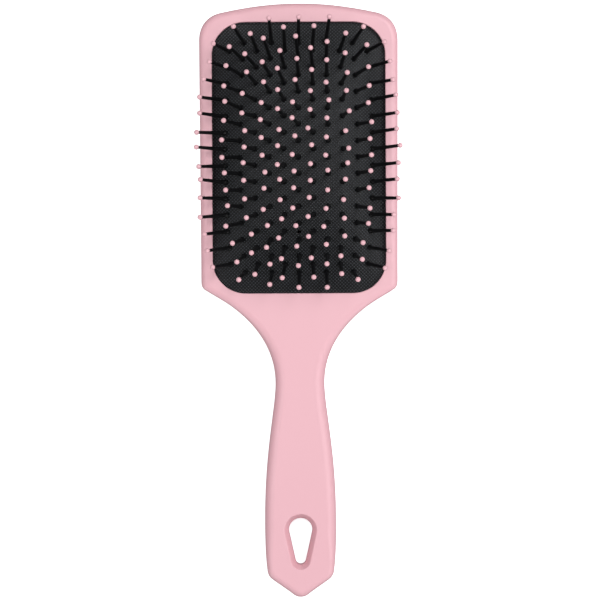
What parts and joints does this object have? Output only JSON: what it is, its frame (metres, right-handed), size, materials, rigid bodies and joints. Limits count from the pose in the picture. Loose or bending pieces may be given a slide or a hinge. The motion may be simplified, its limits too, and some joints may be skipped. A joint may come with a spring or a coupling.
{
  "type": "paddle hair brush",
  "caption": "Flat paddle hair brush with a domed rubber cushion, columns of ball-tipped pins and a waisted handle with a teardrop hanging hole.",
  "frame": {"origin": "on the resting face, at the centre of the brush's overall length and width", "axes": "+Z out of the cushion, up; +Y along the handle towards the head; +X across, to the right when seen from the pins with the head up"},
  "size_m": [0.0834, 0.24, 0.0358],
  "materials": {
    "shell_plastic": "satin pink, moulded",
    "retainer_plastic": "black, moulded",
    "cushion_rubber": "matt black with a fine knurl",
    "pin_nylon": "black nylon; the ball tips are pink"
  },
  "bodies": {
    "paddle": {"front_shell": "shell_plastic", "back_shell": "shell_plastic", "pad_retainer": "retainer_plastic"},
    "pad": {"cushion": "cushion_rubber"},
    "column_01": {"pin_column_01": "pin_nylon"},
    "column_02": {"pin_column_02": "pin_nylon"},
    "column_03": {"pin_column_03": "pin_nylon"},
    "column_04": {"pin_column_04": "pin_nylon"},
    "column_05": {"pin_column_05": "pin_nylon"},
    "column_06": {"pin_column_06": "pin_nylon"},
    "column_07": {"pin_column_07": "pin_nylon"},
    "column_08": {"pin_column_08": "pin_nylon"},
    "column_09": {"pin_column_09": "pin_nylon"},
    "column_10": {"pin_column_10": "pin_nylon"},
    "column_11": {"pin_column_11": "pin_nylon"}
  },
  "joints": [
    {"name": "cushion_press", "type": "slide", "parent": "paddle", "child": "pad", "axis": [0, 0, -1], "range_m": [0, 0.003], "stiffness_N_per_m": 6000, "deforming": ["cushion"]},
    {"name": "pin_column_01_tilt", "type": "hinge", "parent": "pad", "child": "column_01", "pos_m": [-0.02886, 0.0576, 0.0121], "axis": [0, 1, 0], "range_deg": [-10, 10], "stiffness_Nm_per_rad": 0.44, "deforming": ["cushion"]},
    {"name": "pin_column_02_tilt", "type": "hinge", "parent": "pad", "child": "column_02", "pos_m": [-0.023, 0.0576, 0.0137], "axis": [0, 1, 0], "range_deg": [-10, 10], "stiffness_Nm_per_rad": 0.44, "deforming": ["cushion"]},
    {"name": "pin_column_03_tilt", "type": "hinge", "parent": "pad", "child": "column_03", "pos_m": [-0.01732, 0.0576, 0.0152], "axis": [0, 1, 0], "range_deg": [-10, 10], "stiffness_Nm_per_rad": 0.44, "deforming": ["cushion"]},
    {"name": "pin_column_04_tilt", "type": "hinge", "parent": "pad", "child": "column_04", "pos_m": [-0.0115, 0.0576, 0.0151], "axis": [0, 1, 0], "range_deg": [-10, 10], "stiffness_Nm_per_rad": 0.44, "deforming": ["cushion"]},
    {"name": "pin_column_05_tilt", "type": "hinge", "parent": "pad", "child": "column_05", "pos_m": [-0.00577, 0.0576, 0.0157], "axis": [0, 1, 0], "range_deg": [-10, 10], "stiffness_Nm_per_rad": 0.44, "deforming": ["cushion"]},
    {"name": "pin_column_06_tilt", "type": "hinge", "parent": "pad", "child": "column_06", "pos_m": [0, 0.0576, 0.0152], "axis": [0, 1, 0], "range_deg": [-10, 10], "stiffness_Nm_per_rad": 0.44, "deforming": ["cushion"]},
    {"name": "pin_column_07_tilt", "type": "hinge", "parent": "pad", "child": "column_07", "pos_m": [0.00577, 0.0576, 0.0157], "axis": [0, 1, 0], "range_deg": [-10, 10], "stiffness_Nm_per_rad": 0.44, "deforming": ["cushion"]},
    {"name": "pin_column_08_tilt", "type": "hinge", "parent": "pad", "child": "column_08", "pos_m": [0.0115, 0.0576, 0.0151], "axis": [0, 1, 0], "range_deg": [-10, 10], "stiffness_Nm_per_rad": 0.44, "deforming": ["cushion"]},
    {"name": "pin_column_09_tilt", "type": "hinge", "parent": "pad", "child": "column_09", "pos_m": [0.01732, 0.0576, 0.0152], "axis": [0, 1, 0], "range_deg": [-10, 10], "stiffness_Nm_per_rad": 0.44, "deforming": ["cushion"]},
    {"name": "pin_column_10_tilt", "type": "hinge", "parent": "pad", "child": "column_10", "pos_m": [0.023, 0.0576, 0.0137], "axis": [0, 1, 0], "range_deg": [-10, 10], "stiffness_Nm_per_rad": 0.44, "deforming": ["cushion"]},
    {"name": "pin_column_11_tilt", "type": "hinge", "parent": "pad", "child": "column_11", "pos_m": [0.02886, 0.0576, 0.0121], "axis": [0, 1, 0], "range_deg": [-10, 10], "stiffness_Nm_per_rad": 0.44, "deforming": ["cushion"]}
  ]
}
